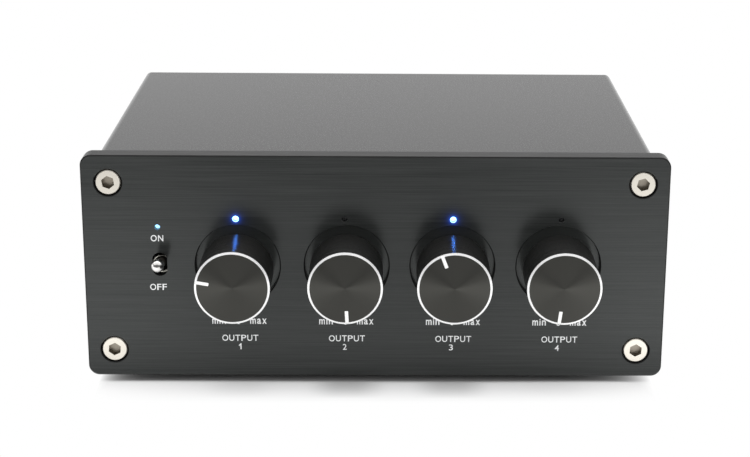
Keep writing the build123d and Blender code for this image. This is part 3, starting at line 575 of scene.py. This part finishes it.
pointer_width = 0.93 * mm
pointer_inner = 6.42 * mm
pointer_depth = 0.24 * mm
pointer_sink = 0.015 * mm
pointer_round = 0.2 * mm
pointer_angles = {1: 99.6, 2: -3.0, 3: 159.4, 4: 7.5}
edge_width = 0.57 * mm
edge_height = 0.32 * mm
edge_slope = edge_width / edge_height
corner_steps = 6


def pointer_outline(outer):
    """Points of the paint's outline, along local -y from the knob's axis, with a rounded inner end."""
    half = pointer_width / 2
    points = [(-half, -outer), (half, -outer)]
    for side in (1, -1):
        for step in range(corner_steps + 1):
            share = step / corner_steps if side > 0 else 1 - step / corner_steps
            angle = share * math.pi / 2
            points.append((
                side * (half - pointer_round + pointer_round * math.cos(angle)),
                -(pointer_inner + pointer_round - pointer_round * math.sin(angle)),
            ))
    return points


for number in control_numbers:
    turn = math.radians(pointer_angles[number])
    axis = knob_axes[number]
    rim = knob_radius - edge_width - 2 * pointer_sink
    outlines = []
    for sink in (pointer_sink, pointer_depth):
        outlines.append([
            (
                axis.x + x * math.cos(turn) + z * math.sin(turn),
                knob_front + sink,
                axis.z - x * math.sin(turn) + z * math.cos(turn),
            )
            for x, z in pointer_outline(rim + edge_slope * sink)
        ])
    mesh = stacked(f"pointer_{number}", *outlines)
    piece(f"pointer_{number}", mesh, paint_look, f"control_{number}")

# Printed lettering on the panel's face, set letter by letter, with the letters' sizes in millimetres

print_thick = 0.03 * mm
letter_widths = {
    "O": 1.68, "U": 1.45, "T": 1.42, "P": 1.42, "N": 1.45, "F": 1.2,
    "m": 1.65, "i": 0.36, "n": 1.15, "a": 1.15, "x": 1.25,
    "0": 1.15, "1": 0.75, "2": 1.1, "3": 1.15, "4": 1.2,
}
letter_heights = {
    "m": 1.6, "i": 2.02, "n": 1.6, "a": 1.6, "x": 1.6,
    "1": 1.78, "2": 1.78, "3": 1.78, "4": 1.78,
}
capital_height = 1.84
small_weight = 0.02
capital_weight = 0.008
letter_extrude = 0.5
letter_steps = 6
one_outline = (
    (0.56, 0.0), (1.0, 0.0), (1.0, 1.0), (0.66, 1.0), (0.0, 0.72), (0.0, 0.52), (0.56, 0.68),
)


def font_letter(letter):
    """A letter of the built-in font as a solid mesh."""
    curve = bpy.data.curves.new(letter, "FONT")
    curve.body = letter
    curve.extrude = letter_extrude
    curve.offset = small_weight if letter.islower() else capital_weight
    curve.resolution_u = letter_steps
    source = bpy.data.objects.new("letter_source", curve)
    scene.collection.objects.link(source)
    bpy.context.view_layer.update()
    mesh = bpy.data.meshes.new_from_object(source.evaluated_get(bpy.context.evaluated_depsgraph_get()))
    bpy.data.objects.remove(source)
    return mesh


def flagged_one():
    """The figure one with a slanted flag, as a solid mesh."""
    return stacked("one", *([(x, y, z) for x, y in one_outline] for z in (1.0, 0.0)))


def word(name, text, middle_x, bottom_z, width):
    """A printed word that lies on the panel's face, with even gaps between its letters."""
    widths = [letter_widths[letter] * mm for letter in text]
    gap = (width - sum(widths)) / max(len(text) - 1, 1)
    left = middle_x - width / 2
    upright = Matrix.Rotation(math.radians(90), 4, "X")
    built = bmesh.new()
    for letter, letter_width in zip(text, widths):
        mesh = flagged_one() if letter == "1" else font_letter(letter)
        low = Vector(min(vertex.co[axis] for vertex in mesh.vertices) for axis in range(3))
        high = Vector(max(vertex.co[axis] for vertex in mesh.vertices) for axis in range(3))
        size = high - low
        height = letter_heights.get(letter, capital_height) * mm
        fit = Matrix.Diagonal((letter_width / size.x, height / size.y, print_thick / size.z, 1))
        on_panel = Matrix.Translation((left, panel_front, bottom_z))
        mesh.transform(on_panel @ upright @ fit @ Matrix.Translation(-low))
        built.from_mesh(mesh)
        bpy.data.meshes.remove(mesh)
        left += letter_width + gap
    joined = bpy.data.meshes.new(name)
    built.to_mesh(joined)
    built.free()
    piece(name, joined, print_look, "chassis")


# Each word's text, the place of its middle, the height of its bottom edge and its width

switch_words = {
    "on": ("ON", -61.32 * mm, 42.15 * mm, 3.5 * mm),
    "off": ("OFF", -61.37 * mm, 27.75 * mm, 4.68 * mm),
}
control_words = {
    "min": ("min", -5.92 * mm, 17.57 * mm, 3.88 * mm),
    "max": ("max", 5.22 * mm, 17.57 * mm, 4.7 * mm),
    "zero": ("0", -0.45 * mm, 17.5 * mm, 1.15 * mm),
    "output": ("OUTPUT", 0.0, 12.42 * mm, 10.25 * mm),
}
digit_shifts = {1: -0.08 * mm, 2: -0.63 * mm, 3: -0.63 * mm, 4: -0.63 * mm}
digit_bottom = 9.86 * mm
first_print_x = -38.62 * mm
print_pitch = 30.34 * mm
print_slope = -0.0028

for kind, row in switch_words.items():
    word(f"word_{kind}", *row)
for number in control_numbers:
    middle = first_print_x + print_pitch * (number - 1)
    lift = print_slope * middle
    for kind, (text, shift, bottom, width) in control_words.items():
        word(f"word_{kind}_{number}", text, middle + shift, lift + bottom, width)
    digit = str(number)
    digit_x = middle + digit_shifts[number]
    word(f"word_number_{number}", digit, digit_x, lift + digit_bottom, letter_widths[digit] * mm)

# Floor: pale, it keeps the object's shadow, with more shadow painted under the object and under the knobs,
# and is white a little way off

floor_half = 6.0
foot_low = panel_low
foot_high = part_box("rear_panel")[1]

floor_mesh = bpy.data.meshes.new("floor")
corners = [(x, y, 0) for x, y in ((-1, -1), (1, -1), (1, 1), (-1, 1))]
floor_mesh.from_pydata([Vector(corner) * floor_half for corner in corners], [], [(0, 1, 2, 3)])
floor = bpy.data.objects.new("floor", floor_mesh)
scene.collection.objects.link(floor)

floor_look = bpy.data.materials.new("floor_pale")
floor_mesh.materials.append(floor_look)
tree = Tree(floor_look)
from_camera, mirrored = tree.rays()
seen = tree.larger(from_camera, mirrored)
floor_x, floor_y = tree.parts(tree.place())[:2]

# How far a place on the floor lies outside the object's ends, and in front of it or behind it

right_trim_span = (30 * mm, 70 * mm)
right_trim = 0.9 * mm
across = tree.minus(tree.absolute(floor_x), foot_high.x)
along = tree.minus(floor_y, (foot_low.y + foot_high.y) / 2)
along = tree.minus(tree.absolute(along), (foot_high.y - foot_low.y) / 2)
along = tree.plus(along, tree.span(floor_x, *right_trim_span, 0.0, right_trim))

# How much of the plain white covers the rendered shadow

edge_span = (-1.5 * mm, 1.5 * mm)
edge_white_share = 0.38
shadow_span = (1.0 * mm, 15.5 * mm)
shadow_white_share = 0.62
end_start = 0.6 * mm
end_turn = (-1 * mm, 1 * mm)
end_reaches = (2.9 * mm, 4.4 * mm)
first = tree.span(along, *edge_span, 0.0, edge_white_share, smooth=True)
then = tree.span(along, *shadow_span, 0.0, shadow_white_share)
end_reach = tree.span(floor_x, *end_turn, *end_reaches)
ends = tree.math("EXPONENT", tree.math("DIVIDE", tree.minus(across, end_start), end_reach))
away = tree.larger(tree.plus(first, then), tree.smaller(ends, 1.0))

# The floor's tone, painted darker under the object as shadow

tone_span = (-1.5 * mm, 1.0 * mm)
painted_shadow_tones = (0.5, 0.9)
tone = tree.span(along, *tone_span, *painted_shadow_tones, smooth=True)

# Soft shadow painted on the floor in front of the object, under each knob

knob_shade_shares = {1: 0.25, 2: 0.7, 3: 0.62, 4: 0.12}
knob_shade_span = (2 * mm, 13 * mm)
knob_shade_reach = 12.5 * mm
under_knobs = 0.0
for number, share in knob_shade_shares.items():
    off = tree.absolute(tree.minus(floor_x, knob_axes[number].x))
    under_knobs = tree.plus(under_knobs, tree.span(off, *knob_shade_span, share, 0.0, smooth=True))
in_front = tree.math("LESS_THAN", floor_y, 0.0)
fade = tree.times(in_front, tree.span(along, 0.0, knob_shade_reach, 1.0, 0.0))

# The white floor's level in reflections: brighter towards the ends, dimmer far in front and close by

mirror_inner = 25 * mm
mirror_outer = 95 * mm
mirror_middle_level = 1.04
mirror_right_level = 1.55
mirror_left_level = 1.4
mirror_far = 320 * mm
mirror_near = 100 * mm
mirror_far_share = 0.22
mirror_close_reach = 45 * mm
mirror_close_share = 0.55
right_side = tree.span(
    floor_x, mirror_inner, mirror_outer, mirror_middle_level, mirror_right_level, smooth=True)
left_side = tree.span(
    floor_x, -mirror_outer, -mirror_inner, mirror_left_level, mirror_middle_level, smooth=True)
far = tree.span(
    floor_y, foot_low.y - mirror_far, foot_low.y - mirror_near, mirror_far_share, 1.0, smooth=True)
close_by = tree.span(along, 0.0, mirror_close_reach, mirror_close_share, 1.0, smooth=True)
level = tree.times(tree.larger(right_side, left_side), tree.times(far, close_by))
level = tree.plus(tree.times(tree.minus(level, 1.0), mirrored), 1.0)
level = tree.times(level, tree.minus(1.0, tree.times(under_knobs, fade)))

grey_tone = tree.add("CombineColor", {"Red": tone, "Green": tone, "Blue": tone})
pale = tree.add("BsdfDiffuse", {"Color": grey_tone.outputs[0]})
white = tree.add("Emission", {"Color": (1, 1, 1, 1), "Strength": level})
covered = tree.times(seen, away)
mixed = tree.add("MixShader", {0: covered, 1: pale.outputs[0], 2: white.outputs[0]})
tree.add("OutputMaterial", {"Surface": mixed.outputs[0]})

# Light: one large soft lamp overhead, which reflections leave out, and a pale room. In reflections the
# room is dimmer towards the front and brighter low down, and its ceiling is brightest overhead, to the
# rear. The spans are of a direction's Y, from front to rear, and of its Z, upwards.

wall_span = (-0.75, 0.05)
wall_levels = (0.14, 1.0)
ceiling_span = (0.34, 0.6)
front_ceiling_span = (-0.95, -0.5)
front_ceiling_levels = (0.1, 1.0)
rear_ceiling_span = (-0.15, 0.25)
rear_ceiling_level = 1.3
overhead_span = (0.65, 0.85)
skirting_span = (0.175, 0.295)
skirting_levels = (1.27, 0.61)
ambient = 0.8

world = bpy.data.worlds.new("room")
scene.world = world
tree = Tree(world)
from_camera, mirrored = tree.rays()
rear_y, up_z = tree.parts(tree.place("Generated"))[1:]
walls = tree.span(rear_y, *wall_span, *wall_levels, smooth=True)
skirting = tree.span(up_z, *skirting_span, *skirting_levels, smooth=True)
ceiling = tree.span(up_z, *ceiling_span, 0.0, 1.0, smooth=True)
ceiling = tree.times(ceiling, tree.span(rear_y, *front_ceiling_span, *front_ceiling_levels, smooth=True))
rear = tree.span(rear_y, *rear_ceiling_span, 0.0, rear_ceiling_level, smooth=True)
overhead = tree.span(up_z, *overhead_span, 0.0, 1.0, smooth=True)
ceiling = tree.plus(ceiling, tree.times(rear, overhead))
room = tree.larger(tree.times(walls, skirting), ceiling)
level = tree.plus(tree.times(tree.minus(room, ambient), mirrored), ambient)
level = tree.larger(level, from_camera)
background = tree.add("Background", {"Color": (1, 1, 1, 1), "Strength": level})
tree.add("OutputWorld", {"Surface": background.outputs[0]})

lamp_data = bpy.data.lights.new("overhead", "AREA")
lamp_data.shape = "RECTANGLE"
lamp_data.size = 1.8
lamp_data.size_y = 1.4
lamp_data.energy = 17.0
lamp = bpy.data.objects.new("overhead", lamp_data)
lamp.location = (0.0, -0.05, 1.3)
lamp.visible_glossy = False
scene.collection.objects.link(lamp)

# Camera, solved from the edges of the panel and the case, with its angles in degrees

camera_place = (2.838 * mm, -535.696 * mm, 194.544 * mm)
camera_pan = -1.12
camera_dip = 17.094
camera_roll = 0.564

camera_data = bpy.data.cameras.new("camera")
camera_data.sensor_width = 36.0
camera_data.lens = 86.469
camera_data.shift_x = -0.06
camera_data.clip_start = 0.01
camera_data.clip_end = 100.0
camera = bpy.data.objects.new("camera", camera_data)
pan = Matrix.Rotation(math.radians(camera_pan), 4, "Z")
tilt = Matrix.Rotation(math.radians(90 - camera_dip), 4, "X")
roll = Matrix.Rotation(math.radians(camera_roll), 4, "Z")
camera.matrix_world = Matrix.Translation(camera_place) @ pan @ tilt @ roll
scene.collection.objects.link(camera)
scene.camera = camera
scene.view_settings.view_transform = "Standard"
